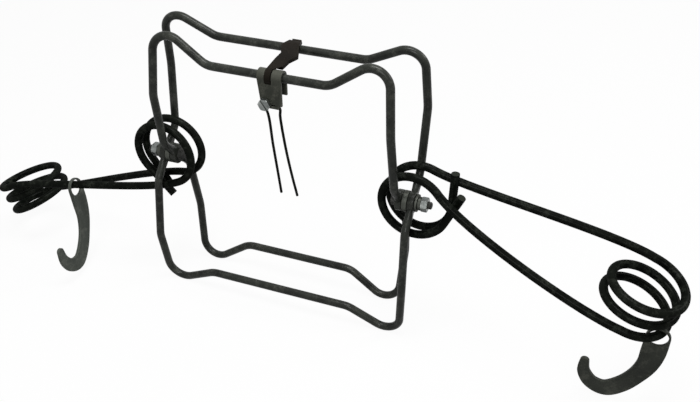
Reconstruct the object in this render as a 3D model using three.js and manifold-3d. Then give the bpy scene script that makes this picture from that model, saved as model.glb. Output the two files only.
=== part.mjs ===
// Body grip trap: two square rod jaws crossed on two pivot bolts, two coil springs whose
// eye rings embrace the rods at the pivots, a safety hook on each spring, a trigger and a dog.
// Lengths in mm, +X along the pivots, +Y away from the viewer, +Z up.
import * as THREE from "three";
import Module from "manifold-3d";

const wasm = await Module();
wasm.setup();

// Jaw rods
const rodDia = 7.2;
const flatThick = 5.4;
const flatSpread = 9.2;
const flatReach = 8;
const flatFade = 9;
const eyeRadius = 9;
const eyeThick = 5.6;
const boltHoleDia = 6.9;
const humpHeight = 124;
const inner = {
  pivotX: 106.4, bendX: 106.4, sideX: 104.8, cornerX: 100.4, dipX: 53.2,
  bendY: 18, sideY: 25.8, cornerY: 18.5, bendZ: 19, dipDrop: 19.4, sideShare: 0.57,
};
const outer = {
  pivotX: 117, bendX: 117, sideX: 118.4, cornerX: 115.2, dipX: 68,
  bendY: 19, sideY: 26.6, cornerY: 20, bendZ: 19, dipDrop: 14.2, sideShare: 0.61,
};
const bendRadius = 14;
const sideRadius = 28;
const cornerRadius = 15.3;
const dipRadius = 20;

// Pivot stack, from the head inside the inner jaw to the bolt's end outside the outer jaw
const seat = 0.3;
const rideGap = 0.4;
const boltDia = 6.3;
const headThick = 4;
const headAcross = 10;
const pivotWasherDia = 15;
const pivotWasherThick = 2;
const lockOuterDia = 11.4;
const lockThick = 2.2;
const lockSlit = 1.4;
const nutThick = 5.5;
const nutAcross = 11;
const boltProud = 3.4;
const chamfer = 0.9;

// Springs, each one unbroken wire: ring, arm, coil of two and a half turns, arm, ring
const wireDia = 7.2;
const ringRadius = 28.4;
const ringHalfGap = 10.5;
const ringInward = 5.3;
const ringTurn = 290;
const ringTail = 33;
const armEaseShare = 0.2;
const armSplayShare = 0.13;
const coilReach = 188.2;
const coilRadius = 28;
const coilTurns = 2;
// Where each spring lies and how far it is squeezed; the starts say where its arms leave the rings
const springs = {
  right: {
    side: 1, centre: new THREE.Vector3(120.8, -0.3, 1.8), droop: 16.4, yaw: -5,
    coilTop: 39.5, coilBottom: 4.7, rearStart: -5.8, frontStart: -28.4,
  },
  left: {
    side: -1, centre: new THREE.Vector3(-114.4, -0.2, 1.9), droop: 23.1, yaw: -1.2,
    coilTop: 24.4, coilBottom: -8.4, rearStart: -10.3, frontStart: 1,
  },
};

// Safety hooks, flat plates that hang on the springs
const hookThick = 3;
const hookHeight = 73;
const hookHoleDia = 15.4;
const hookRest = 3.2;
const rightHookShare = 0.668;
const leftHookShare = 0.7535;
// Middle line and half width of the plate, from the eye to the tip
const hookStationShares = [
  [0.034, -0.03, 0.128],
  [0.045, -0.25, 0.129],
  [0.075, -0.44, 0.112],
  [0.16, -0.63, 0.098],
  [0.285, -0.8, 0.1],
  [0.44, -0.91, 0.101],
  [0.6, -0.87, 0.087],
  [0.695, -0.735, 0.07],
  [0.705, -0.59, 0.05],
];

// Trigger and dog on the inner jaw's top rod
const bracketLeft = -5.7;
const bracketRight = 15.3;
const bracketThick = 2;
const frontDrop = 27.5;
const rearDrop = 16.5;
const plateCorner = 3;
const slotLeft = 0.8;
const slotWide = 5.9;
const dogGap = 0.35;
const dogThick = 3;
const dogNeck = 9.2;
const dogShoulder = 15;
const dogWideLeft = 1.9;
const dogWideRight = 15;
const dogTipLeft = -4.5;
const dogTipRight = 5.6;
const dogSeam = 1.3;
const lipStart = 1.3;
const lipRun = 7.5;
const lipAngle = 22;
const nubRun = 5.5;
const nubAngle = 38;
const triggerBoltX = 1;
const triggerBoltDrop = 21.4;
const triggerBoltDia = 4.8;
const triggerHeadAcross = 9.4;
const triggerHeadThick = 3.4;
const headSlotWide = 1.3;
const headSlotDeep = 1.2;
const triggerWasherDia = 10.6;
const triggerWasherThick = 1;
const triggerNutAcross = 8;
const triggerNutThick = 3.4;
const triggerBoltProud = 1.6;
const triggerWireDia = 2.3;
const wireLoopRadius = 4;
const legSpread = 10.6;
const legSetOff = 11;
const legLong = 82;
const legLean = 13;
const legDrift = 3.6;
const legSplay = 2.2;

const rodSides = 12;
const wireSides = 10;
const thinSides = 8;
const roundSides = 28;
const mergeStep = 0.0001;
const meshes = [];
const steel = { jaw: "#34322f", spring: "#26261f", hook: "#4b4a41", zinc: "#b9bcc0", dark: "#3c3b36" };

const vec = (x, y, z) => new THREE.Vector3(x, y, z);
const rad = THREE.MathUtils.degToRad;

function addPart(name, geometry, color) {
  const material = new THREE.MeshStandardMaterial({ color, metalness: 1, roughness: 0.5 });
  const mesh = new THREE.Mesh(geometry, material);
  mesh.name = name;
  meshes.push(mesh);
  return mesh;
}

// Booleans on closed meshes
function toSolid(geometry) {
  const bare = geometry.index ? geometry.toNonIndexed() : geometry.clone();
  bare.deleteAttribute("normal");
  bare.deleteAttribute("uv");
  const place = bare.getAttribute("position");
  const seen = new Map();
  const points = [];
  const triVerts = new Uint32Array(place.count);
  for (let i = 0; i < place.count; i += 1) {
    const at = [place.getX(i), place.getY(i), place.getZ(i)];
    const key = at.map((value) => Math.round(value / mergeStep)).join();
    if (!seen.has(key)) {
      seen.set(key, seen.size);
      points.push(...at);
    }
    triVerts[i] = seen.get(key);
  }
  const kept = [];
  for (let i = 0; i < triVerts.length; i += 3) {
    const [a, b, c] = triVerts.slice(i, i + 3);
    if (a !== b && b !== c && c !== a) kept.push(a, b, c);
  }
  return new wasm.Manifold(new wasm.Mesh({
    numProp: 3, vertProperties: new Float32Array(points), triVerts: new Uint32Array(kept),
  }));
}

function toGeometry(solid) {
  const mesh = solid.getMesh();
  const geometry = new THREE.BufferGeometry();
  geometry.setAttribute("position", new THREE.BufferAttribute(new Float32Array(mesh.vertProperties), 3));
  geometry.setIndex(new THREE.BufferAttribute(new Uint32Array(mesh.triVerts), 1));
  return geometry;
}

const join = (...list) => toGeometry(list.map(toSolid).reduce((a, b) => a.add(b)));
const cut = (body, ...tools) => toGeometry(tools.map(toSolid).reduce((a, b) => a.subtract(b), toSolid(body)));
const meet = (a, b) => toGeometry(toSolid(a).intersect(toSolid(b)));

// A disc or hexagon along X, from x0 to x1
function rodAlongX(x0, x1, radius, sides = roundSides, turn = 0) {
  const geometry = new THREE.CylinderGeometry(radius, radius, x1 - x0, sides);
  geometry.rotateY(turn);
  geometry.rotateZ(-Math.PI / 2);
  return geometry.translate((x0 + x1) / 2, 0, 0);
}

function boxBetween(x0, x1, y0, y1, z0, z1) {
  const geometry = new THREE.BoxGeometry(x1 - x0, y1 - y0, z1 - z0);
  return geometry.translate((x0 + x1) / 2, (y0 + y1) / 2, (z0 + z1) / 2);
}

// A hexagon with its corners taken off on the given ends, along X
function hexAlongX(x0, x1, across, bevelStart, bevelEnd) {
  const corner = across / Math.sqrt(3);
  const round = across / 2 + (corner - across / 2) / 4;
  const out = corner + chamfer;
  const profile = [[x0, 0], [x0, bevelStart ? round : out], [x0 + chamfer, out]];
  profile.push([x1 - chamfer, out], [x1, bevelEnd ? round : out], [x1, 0]);
  const lathe = new THREE.LatheGeometry(profile.map(([x, r]) => new THREE.Vector2(r, x)), roundSides);
  lathe.rotateZ(-Math.PI / 2);
  return meet(lathe, rodAlongX(x0 - chamfer, x1 + chamfer, corner, 6, Math.PI / 6));
}

// Centre line with each corner rounded; returns points on the line
function roundPath(corners, closed, steps) {
  const points = [];
  const count = corners.length;
  corners.forEach((corner, i) => {
    if (!closed && (i === 0 || i === count - 1)) {
      points.push(corner.at.clone());
      return;
    }
    const before = corners[(i + count - 1) % count].at.clone().sub(corner.at).normalize();
    const after = corners[(i + 1) % count].at.clone().sub(corner.at).normalize();
    const half = before.angleTo(after) / 2;
    if (!corner.radius || half > rad(89)) {
      points.push(corner.at.clone());
      return;
    }
    const bisector = before.clone().add(after).normalize();
    const middle = corner.at.clone().addScaledVector(bisector, corner.radius / Math.sin(half));
    const turn = Math.PI - 2 * half;
    const side = before.clone().sub(after).normalize();
    const parts = Math.max(2, Math.ceil(turn / rad(steps)));
    for (let k = 0; k <= parts; k += 1) {
      const angle = turn / 2 - (turn * k) / parts;
      const away = bisector.clone().multiplyScalar(-Math.cos(angle)).addScaledVector(side, Math.sin(angle));
      points.push(middle.clone().addScaledVector(away, corner.radius));
    }
  });
  return points;
}

// Skin over rings of points; ends are capped unless the rings close on themselves
function skin(rings, closed) {
  const sides = rings[0].length;
  const flat = rings.flat();
  const index = [];
  const count = rings.length;
  for (let i = 0; i < (closed ? count : count - 1); i += 1) {
    const next = (i + 1) % count;
    for (let j = 0; j < sides; j += 1) {
      const k = (j + 1) % sides;
      index.push(i * sides + j, i * sides + k, next * sides + j);
      index.push(i * sides + k, next * sides + k, next * sides + j);
    }
  }
  if (!closed) {
    const last = (count - 1) * sides;
    for (let j = 1; j < sides - 1; j += 1) {
      index.push(0, j + 1, j);
      index.push(last, last + j, last + j + 1);
    }
  }
  const geometry = new THREE.BufferGeometry();
  geometry.setFromPoints(flat);
  geometry.setIndex(index);
  return geometry;
}

function tangents(points, closed) {
  const count = points.length;
  return points.map((point, i) => {
    const a = closed ? points[(i + count - 1) % count] : points[Math.max(i - 1, 0)];
    const b = closed ? points[(i + 1) % count] : points[Math.min(i + 1, count - 1)];
    const to = b.clone().sub(point);
    const from = point.clone().sub(a);
    if (to.length() === 0) return from.normalize();
    if (from.length() === 0) return to.normalize();
    return to.normalize().add(from.normalize()).normalize();
  });
}

// A round wire along points, its section carried along without twist
function wireAlong(points, dia, sides) {
  const along = tangents(points, false);
  let across = vec(0, 1, 0).projectOnPlane(along[0]);
  if (across.length() < 0.3) across = vec(0, 0, 1).projectOnPlane(along[0]);
  across.normalize();
  const rings = points.map((point, i) => {
    across.projectOnPlane(along[i]).normalize();
    const up = along[i].clone().cross(across);
    return Array.from({ length: sides }, (_, j) => {
      const angle = (2 * Math.PI * j) / sides;
      const out = across.clone().multiplyScalar(Math.cos(angle)).addScaledVector(up, Math.sin(angle));
      return point.clone().addScaledVector(out, dia / 2);
    });
  });
  return skin(rings, false);
}

// Jaws: one closed rod each; the lower half is the upper half turned round the pivot line
function jawCorners(size, front) {
  const half = [
    [size.bendX, size.bendY, size.bendZ, bendRadius],
    [size.sideX, size.sideY, size.sideZ, sideRadius],
    [size.cornerX, size.cornerY, size.cornerZ, cornerRadius],
    [size.dipX, size.dipY, size.dipZ, dipRadius],
  ];
  const up = half.map(([x, y, z, radius]) => ({ at: vec(x, front * y, z), radius }));
  const down = [...half].reverse().map(([x, y, z, radius]) => ({ at: vec(-x, front * y, z), radius }));
  const top = [{ at: vec(size.pivotX, 0, 0), radius: 0 }, ...up, ...down];
  const turned = top.map(({ at, radius }) => ({ at: vec(-at.x, -at.y, -at.z), radius }));
  return [...top, ...turned];
}

// The sharp corner stands above the hump by what its rounding takes off
function settled(given) {
  const size = { ...given, sideZ: humpHeight * given.sideShare, dipZ: humpHeight - given.dipDrop };
  size.cornerZ = humpHeight + cornerRadius;
  for (let round = 0; round < 8; round += 1) {
    const dipShare = (size.dipZ - size.sideZ) / (size.cornerZ - size.sideZ);
    size.dipY = THREE.MathUtils.lerp(size.sideY, size.cornerY, dipShare);
    const points = roundPath(jawCorners(size, 1), true, 15);
    size.cornerZ += humpHeight - Math.max(...points.map((point) => point.z));
  }
  return size;
}

function withExtraRings(points, pivotX) {
  const out = [];
  points.forEach((point, i) => {
    out.push(point);
    const next = points[(i + 1) % points.length];
    const near = Math.min(Math.hypot(point.y, point.z), Math.hypot(next.y, next.z));
    if (near > eyeRadius * 2 || Math.abs(point.x) < pivotX / 2) return;
    for (let k = 1; k < 4; k += 1) out.push(point.clone().lerp(next, k / 4));
  });
  return out;
}

function jawRod(size, front) {
  const points = withExtraRings(roundPath(jawCorners(size, front), true, 15), size.pivotX);
  const along = tangents(points, true);
  const rings = points.map((point, i) => {
    const wide = vec(0, 1, 0).projectOnPlane(along[i]).normalize();
    const thin = wide.clone().cross(along[i]);
    const far = (Math.hypot(point.y, point.z) - flatReach) / flatFade;
    const flatShare = 1 - THREE.MathUtils.smoothstep(far, 0, 1);
    const wideHalf = THREE.MathUtils.lerp(rodDia, flatSpread, flatShare) / 2;
    const thinHalf = THREE.MathUtils.lerp(rodDia, flatThick, flatShare) / 2;
    return Array.from({ length: rodSides }, (_, j) => {
      const angle = (2 * Math.PI * (j + 0.5)) / rodSides;
      const thinPart = THREE.MathUtils.clamp((Math.cos(angle) * rodDia) / 2, -thinHalf, thinHalf);
      return point.clone().addScaledVector(thin, thinPart).addScaledVector(wide, Math.sin(angle) * wideHalf);
    });
  });
  const loop = skin(rings, true);
  const eyes = [-size.pivotX, size.pivotX].map((x) => rodAlongX(x - eyeThick / 2, x + eyeThick / 2, eyeRadius));
  const reach = eyeThick;
  const holes = [-size.pivotX, size.pivotX].map((x) => rodAlongX(x - reach, x + reach, boltHoleDia / 2));
  return cut(join(loop, ...eyes), ...holes);
}

const outerJaw = settled(outer);
const innerJaw = settled(inner);
addPart("jaw_outer", jawRod(outerJaw, 1), steel.jaw);
addPart("jaw_inner", jawRod(innerJaw, -1), steel.jaw);

// Pivot stack for one side; side is 1 on the right and -1 on the left
const headEnd = inner.pivotX - eyeThick / 2 - seat;
const spacerStart = inner.pivotX + eyeThick / 2 + seat;
const spacerEnd = outer.pivotX - eyeThick / 2 - seat;
const washerStart = outer.pivotX + eyeThick / 2 + seat;
const lockStart = washerStart + pivotWasherThick + seat;
const nutStart = lockStart + lockThick + seat;
const boltEnd = nutStart + nutThick + boltProud;

function pivotStack(side) {
  const word = side > 0 ? "right" : "left";
  const face = (geometry) => (side > 0 ? geometry : geometry.rotateY(Math.PI));
  const head = hexAlongX(headEnd - headThick, headEnd, headAcross, true, false);
  const shank = rodAlongX(headEnd - headThick / 2, boltEnd - chamfer, boltDia / 2);
  const tip = new THREE.CylinderGeometry(boltDia / 2 - chamfer, boltDia / 2, chamfer, roundSides);
  tip.rotateZ(-Math.PI / 2).translate(boltEnd - chamfer / 2, 0, 0);
  addPart(`pivot_bolt_${word}`, face(join(head, shank, tip)), steel.zinc);
  const bore = () => rodAlongX(headEnd - headThick, boltEnd + headThick, boltHoleDia / 2);
  const spacer = cut(rodAlongX(spacerStart, spacerEnd, eyeRadius), bore());
  addPart(`pivot_spacer_${word}`, face(spacer), steel.zinc);
  const washer = cut(rodAlongX(washerStart, washerStart + pivotWasherThick, pivotWasherDia / 2), bore());
  addPart(`pivot_washer_${word}`, face(washer), steel.zinc);
  const ring = rodAlongX(lockStart, lockStart + lockThick, lockOuterDia / 2);
  const slit = boxBetween(-lockThick, lockThick, -lockSlit / 2, lockSlit / 2, 0, lockOuterDia);
  slit.rotateZ(rad(24)).translate(lockStart + lockThick / 2, 0, 0);
  addPart(`lock_washer_${word}`, face(cut(ring, bore(), slit)), steel.zinc);
  const nut = cut(hexAlongX(nutStart, nutStart + nutThick, nutAcross, true, true), bore());
  addPart(`pivot_nut_${word}`, face(nut), steel.zinc);
}

pivotStack(1);
pivotStack(-1);

// Spring centre line in its own frame: +X from ring to coil, +Z up, ring centre at 0
function ringEnd(side, startAngle) {
  const start = rad(startAngle);
  const steps = 20;
  const points = [];
  for (let i = 0; i <= steps; i += 1) {
    const angle = start + (rad(ringTurn) * i) / steps;
    const y = side * (ringHalfGap - (ringInward * i) / steps);
    points.push(vec(-ringRadius * Math.sin(angle), y, ringRadius * Math.cos(angle)));
  }
  const end = start + rad(ringTurn);
  const last = points[steps].clone();
  points.push(last.add(vec(-Math.cos(end) * ringTail, 0, -Math.sin(end) * ringTail)));
  return points;
}

// The arm leaves the ring along its circle and eases into the coil's first turn
function springArm(ringStart, startAngle, coilStart, coilNext) {
  const reach = ringStart.distanceTo(coilStart) * armEaseShare;
  const splay = Math.sign(ringStart.y) * armSplayShare;
  const out = vec(Math.cos(rad(startAngle)), splay, Math.sin(rad(startAngle))).setLength(reach);
  const back = coilStart.clone().sub(coilNext).setLength(reach);
  const bend = [ringStart.clone().add(out), coilStart.clone().add(back)];
  const curve = new THREE.CubicBezierCurve3(ringStart, ...bend, coilStart);
  return curve.getPoints(12).slice(1, -1);
}

function springPath(squeeze) {
  const far = Math.hypot(coilReach, ringHalfGap);
  const lean = Math.asin(coilRadius / far) - Math.atan2(ringHalfGap, coilReach);
  const total = Math.PI + 2 * lean + 2 * Math.PI * coilTurns;
  const steps = Math.ceil(total / rad(15));
  const coil = Array.from({ length: steps + 1 }, (_, i) => {
    const angle = Math.PI / 2 + lean - (total * i) / steps;
    const level = THREE.MathUtils.lerp(squeeze.coilTop, squeeze.coilBottom, i / steps);
    return vec(coilReach + coilRadius * Math.cos(angle), coilRadius * Math.sin(angle), level);
  });
  const rear = ringEnd(1, squeeze.rearStart);
  const front = ringEnd(-1, squeeze.frontStart);
  const rearArm = springArm(rear[0], squeeze.rearStart, coil[0], coil[1]);
  const frontArm = springArm(front[0], squeeze.frontStart, coil[steps], coil[steps - 1]);
  return [...rear.reverse(), ...rearArm, ...coil, ...frontArm.reverse(), ...front];
}

function leastSelfGap(points) {
  const fine = [];
  let walked = 0;
  for (let i = 1; i < points.length; i += 1) {
    const long = points[i].distanceTo(points[i - 1]);
    const parts = Math.max(1, Math.ceil(long / (wireDia / 4)));
    for (let k = 0; k < parts; k += 1) {
      fine.push({ at: points[i - 1].clone().lerp(points[i], k / parts), walked: walked + (long * k) / parts });
    }
    walked += long;
  }
  let least = Infinity;
  fine.forEach((a, i) => {
    for (let j = i + 1; j < fine.length; j += 1) {
      const apart = fine[j].walked - a.walked;
      if (apart > wireDia * 4) least = Math.min(least, a.at.distanceTo(fine[j].at));
    }
  });
  return least - wireDia;
}

function springPlace({ side, centre, droop, yaw }) {
  const tilt = new THREE.Matrix4().makeRotationY(rad(side * droop));
  const swing = new THREE.Matrix4().makeRotationZ(rad(yaw));
  const flip = new THREE.Matrix4().makeRotationY(side > 0 ? 0 : Math.PI);
  const place = new THREE.Matrix4().makeTranslation(centre.x, centre.y, centre.z);
  return place.multiply(swing).multiply(tilt).multiply(flip);
}

const springPoints = {};
for (const [word, spring] of Object.entries(springs)) {
  const line = springPath(spring);
  springPoints[word] = line.map((point) => point.clone().applyMatrix4(springPlace(spring)));
  addPart(`spring_${word}`, wireAlong(springPoints[word], wireDia, wireSides), steel.spring);
  console.log(`least gap of the ${word} spring's wire to itself: ${leastSelfGap(line).toFixed(2)} mm`);
}

// Safety hook: a plate around a curved middle line, its eye on the spring's wire
function hookOutline() {
  const middle = new THREE.SplineCurve(
    hookStationShares.map(([h, v]) => new THREE.Vector2(h * hookHeight, v * hookHeight)),
  );
  const widths = new THREE.SplineCurve(
    hookStationShares.map(([, , w], i) => new THREE.Vector2(i * hookHeight, w * hookHeight)),
  );
  const steps = 26;
  const near = [];
  const far = [];
  for (let i = 0; i <= steps; i += 1) {
    const at = middle.getPoint(i / steps);
    const along = middle.getTangent(i / steps);
    const out = new THREE.Vector2(-along.y, along.x).multiplyScalar(widths.getPoint(i / steps).y);
    near.push(at.clone().add(out));
    far.push(at.clone().sub(out));
  }
  const cap = (centre, from, turns) => Array.from({ length: turns - 1 }, (_, k) => {
    const arm = from.clone().sub(centre);
    return arm.rotateAround(new THREE.Vector2(), (Math.PI * (k + 1)) / turns).add(centre);
  });
  const start = middle.getPoint(0);
  const end = middle.getPoint(1);
  return [...far, ...cap(end, far[steps], 6), ...near.reverse(), ...cap(start, near[steps], 10)];
}

function hookAt(share, points, along, rightWay) {
  const lengths = [0];
  for (let i = 1; i < points.length; i += 1) {
    lengths.push(lengths[i - 1] + points[i].distanceTo(points[i - 1]));
  }
  const want = share * lengths[lengths.length - 1];
  const i = lengths.findIndex((long) => long >= want);
  const part = (want - lengths[i - 1]) / (lengths[i] - lengths[i - 1]);
  const at = points[i - 1].clone().lerp(points[i], part);
  const wire = points[i].clone().sub(points[i - 1]).normalize();
  const shape = new THREE.Shape(hookOutline());
  const eye = new THREE.Vector2(hookStationShares[0][0] * hookHeight, hookStationShares[0][1] * hookHeight);
  const hole = new THREE.Path();
  hole.absarc(eye.x, eye.y, hookHoleDia / 2, 0, 2 * Math.PI, true);
  shape.holes.push(hole);
  const plate = new THREE.ExtrudeGeometry(shape, { depth: hookThick, bevelEnabled: false, curveSegments: 10 });
  plate.translate(-eye.x, -eye.y - hookRest, -hookThick / 2);
  const normal = along(wire).normalize();
  const up = vec(0, 0, 1).projectOnPlane(normal).normalize();
  const right = up.clone().cross(normal);
  const sense = right.dot(rightWay) < 0 ? -1 : 1;
  const basis = new THREE.Matrix4().makeBasis(right.multiplyScalar(sense), up, normal.multiplyScalar(sense));
  plate.applyMatrix4(basis.setPosition(at));
  return { plate, at, wire };
}

const hookNormal = vec(0, -1, 0);
const rightHook = hookAt(rightHookShare, springPoints.right, () => hookNormal.clone(), vec(-1, 0, 0));
const leftHook = hookAt(leftHookShare, springPoints.left, (wire) => wire.clone(), vec(0, -1, 0));
addPart("safety_hook_right", rightHook.plate, steel.hook);
addPart("safety_hook_left", leftHook.plate, steel.hook);

// Trigger bracket: a folded strip over the inner jaw's top rod, with a slot for the dog
const rodY = -innerJaw.dipY;
const rodZ = innerJaw.dipZ;
const foldInner = rodDia / 2 + rideGap;
const foldOuter = foldInner + bracketThick;
const frontFace = rodY - foldOuter;
const backFace = rodY - foldInner;

// Outline in Y and Z swept along X from x0 to x1
function sweptAlongX(shape, x0, x1) {
  const geometry = new THREE.ExtrudeGeometry(shape, { depth: x1 - x0, bevelEnabled: false, curveSegments: 14 });
  const basis = new THREE.Matrix4().makeBasis(vec(0, 1, 0), vec(0, 0, 1), vec(1, 0, 0));
  return geometry.applyMatrix4(basis.setPosition(x0, 0, 0));
}

function bracketGeometry() {
  const fold = new THREE.Shape();
  fold.moveTo(rodY - foldOuter, rodZ - frontDrop);
  fold.lineTo(rodY - foldInner, rodZ - frontDrop);
  fold.lineTo(rodY - foldInner, rodZ);
  fold.absarc(rodY, rodZ, foldInner, Math.PI, 0, true);
  fold.lineTo(rodY + foldInner, rodZ - rearDrop);
  fold.lineTo(rodY + foldOuter, rodZ - rearDrop);
  fold.lineTo(rodY + foldOuter, rodZ);
  fold.absarc(rodY, rodZ, foldOuter, 0, Math.PI, false);
  const strip = sweptAlongX(fold, bracketLeft, bracketRight);
  const slot = rodAlongX(slotLeft, slotLeft + slotWide, foldInner + dogThick + seat);
  slot.translate(0, rodY, rodZ);
  const notch = boxBetween(bracketRight - plateCorner, bracketRight + plateCorner,
    frontFace - seat, backFace + seat, rodZ - frontDrop - seat, rodZ - frontDrop + plateCorner);
  const hole = new THREE.CylinderGeometry(triggerBoltDia / 2 + seat, triggerBoltDia / 2 + seat,
    bracketThick * 4, roundSides);
  hole.translate(triggerBoltX, frontFace, rodZ - triggerBoltDrop);
  return cut(strip, slot, notch, hole);
}

// Dog: a ring round the rod, a neck in the slot, and a strip that reaches over the outer jaw's rod
function dogGeometry() {
  const ringOuter = foldInner + dogThick;
  const neckLeft = slotLeft + dogGap;
  const neckRight = slotLeft + slotWide - dogGap;
  const farY = outerJaw.dipY;
  const farTop = outerJaw.dipZ + rodDia / 2 + rideGap;
  const under = [new THREE.Vector2(rodY, rodZ + foldInner), new THREE.Vector2(farY + lipStart, farTop)];
  const lip = new THREE.Vector2(lipRun * Math.cos(rad(lipAngle)), -lipRun * Math.sin(rad(lipAngle)));
  under.push(under[1].clone().add(lip));
  const nub = new THREE.Vector2(nubRun * Math.cos(rad(nubAngle)), nubRun * Math.sin(rad(nubAngle)));
  under.push(under[2].clone().add(nub));
  const lift = new THREE.Vector2(0, dogThick);
  const over = under.map((point) => point.clone().add(lift));
  over[3].add(new THREE.Vector2(-dogThick / 3, dogThick / 6));
  const profile = new THREE.Shape([...under, ...over.reverse()]);
  const strip = sweptAlongX(profile, dogTipLeft - dogThick, dogWideRight + dogThick);
  const plan = new THREE.Shape();
  plan.moveTo(neckLeft, rodY - ringOuter);
  plan.lineTo(neckRight, rodY - ringOuter);
  plan.lineTo(neckRight, rodY + dogNeck);
  plan.lineTo(dogWideRight, rodY + dogShoulder);
  plan.lineTo(dogWideRight, rodY + dogShoulder + dogNeck);
  plan.lineTo(dogTipRight, farY - rodDia / 2);
  plan.lineTo(dogTipRight, farY + lipRun + nubRun * 2);
  plan.lineTo(dogTipLeft, farY + lipRun + nubRun * 2);
  plan.lineTo(dogTipLeft, farY - rodDia);
  plan.lineTo(dogWideLeft, rodY + dogShoulder + dogNeck);
  plan.lineTo(neckLeft, rodY + dogShoulder);
  const tall = new THREE.ExtrudeGeometry(plan, { depth: hookHeight, bevelEnabled: false });
  tall.translate(0, 0, rodZ - hookHeight / 4);
  const ring = rodAlongX(neckLeft, neckRight, ringOuter).translate(0, rodY, rodZ);
  const bore = rodAlongX(neckLeft - seat, neckRight + seat, foldInner).translate(0, rodY, rodZ);
  const seam = boxBetween(neckLeft - seat, neckRight + seat, 0, ringOuter, -dogSeam / 2, dogSeam / 2);
  seam.rotateX(rad(12)).translate(0, rodY, rodZ);
  return cut(join(meet(strip, tall), ring), bore, seam);
}

addPart("trigger_bracket", bracketGeometry(), steel.hook);
addPart("dog", dogGeometry(), steel.hook);

// Trigger bolt, washer and nut, along Y through the bracket's front plate
function alongY(geometry) {
  geometry.rotateZ(Math.PI / 2);
  return geometry.translate(triggerBoltX, 0, rodZ - triggerBoltDrop);
}

const wireY = backFace + rideGap + triggerWireDia / 2;
const smallWasherStart = wireY + triggerWireDia / 2 + seat;
const smallNutStart = smallWasherStart + triggerWasherThick + seat;
const triggerHeadEnd = frontFace - seat;
const triggerBore = () => rodAlongX(triggerHeadEnd, smallNutStart + frontDrop, triggerBoltDia / 2 + seat);
const headStart = triggerHeadEnd - triggerHeadThick;
const headHex = hexAlongX(headStart, triggerHeadEnd, triggerHeadAcross, true, false);
const headSlot = boxBetween(headStart - headSlotDeep, headStart + headSlotDeep,
  -headSlotWide / 2, headSlotWide / 2, -triggerHeadAcross, triggerHeadAcross);
headSlot.rotateX(rad(-35));
const smallEnd = smallNutStart + triggerNutThick + triggerBoltProud;
const smallShank = rodAlongX(headStart + triggerHeadThick / 2, smallEnd, triggerBoltDia / 2, roundSides);
addPart("trigger_bolt", alongY(join(cut(headHex, headSlot), smallShank)), steel.zinc);
const smallWasher = rodAlongX(smallWasherStart, smallWasherStart + triggerWasherThick, triggerWasherDia / 2);
addPart("trigger_washer", alongY(cut(smallWasher, triggerBore())), steel.zinc);
const smallNut = hexAlongX(smallNutStart, smallNutStart + triggerNutThick, triggerNutAcross, true, true);
addPart("trigger_nut", alongY(cut(smallNut, triggerBore())), steel.zinc);

// Trigger wire: one wire with two legs, bent over the bolt behind the front plate
function triggerWirePoints() {
  const boltZ = rodZ - triggerBoltDrop;
  const leftX = triggerBoltX - wireLoopRadius;
  const below = boltZ - legSetOff;
  const rightX = triggerBoltX + legSpread;
  const loop = Array.from({ length: 7 }, (_, i) => {
    const angle = Math.PI - (rad(135) * i) / 6;
    const x = triggerBoltX + wireLoopRadius * Math.cos(angle);
    return vec(x, wireY, boltZ + wireLoopRadius * Math.sin(angle));
  });
  const leg = (x, dirX) => [0.35, 0.7, 1].map((share) => {
    const back = legLean * share ** 1.3;
    return vec(x + legDrift * share + dirX * legSplay * share ** 2, wireY + back, below - legLong * share);
  });
  const left = [vec(triggerBoltX, wireY, below), ...leg(triggerBoltX, -1)].reverse();
  const right = [vec(rightX, wireY, below), ...leg(rightX, 1)];
  return [...left, ...loop, vec(rightX, wireY, boltZ - wireLoopRadius), ...right];
}

const wireCurve = new THREE.CatmullRomCurve3(triggerWirePoints(), false, "centripetal");
addPart("trigger_wire", wireAlong(wireCurve.getPoints(90), triggerWireDia, thinSides), steel.dark);

// The group's frame: middle of its own box at the ground
const box = new THREE.Box3();
meshes.forEach((mesh) => {
  mesh.geometry.computeBoundingBox();
  box.union(mesh.geometry.boundingBox);
});
const shift = vec(-(box.min.x + box.max.x) / 2, -(box.min.y + box.max.y) / 2, -box.min.z);
const group = new THREE.Group();
meshes.forEach((mesh) => {
  mesh.geometry.translate(shift.x, shift.y, shift.z);
  group.add(mesh);
});
const say = (name, at) => console.log(name, at.toArray().map((value) => value.toFixed(3)).join(" "));
say("box size:", box.getSize(vec(0, 0, 0)));
say("shift:", shift);
say("trigger rod axis:", vec(triggerBoltX, rodY, rodZ).add(shift));
say("right ring centre:", springs.right.centre.clone().add(shift));
say("left ring centre:", springs.left.centre.clone().add(shift));
say("right hook on the wire:", rightHook.at.clone().add(shift));
say("right hook wire direction:", rightHook.wire);
say("left hook on the wire:", leftHook.at.clone().add(shift));
say("left hook wire direction:", leftHook.wire);

export default group;
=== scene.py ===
import math

import bmesh
import bpy
from mathutils import Matrix, Vector


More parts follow.
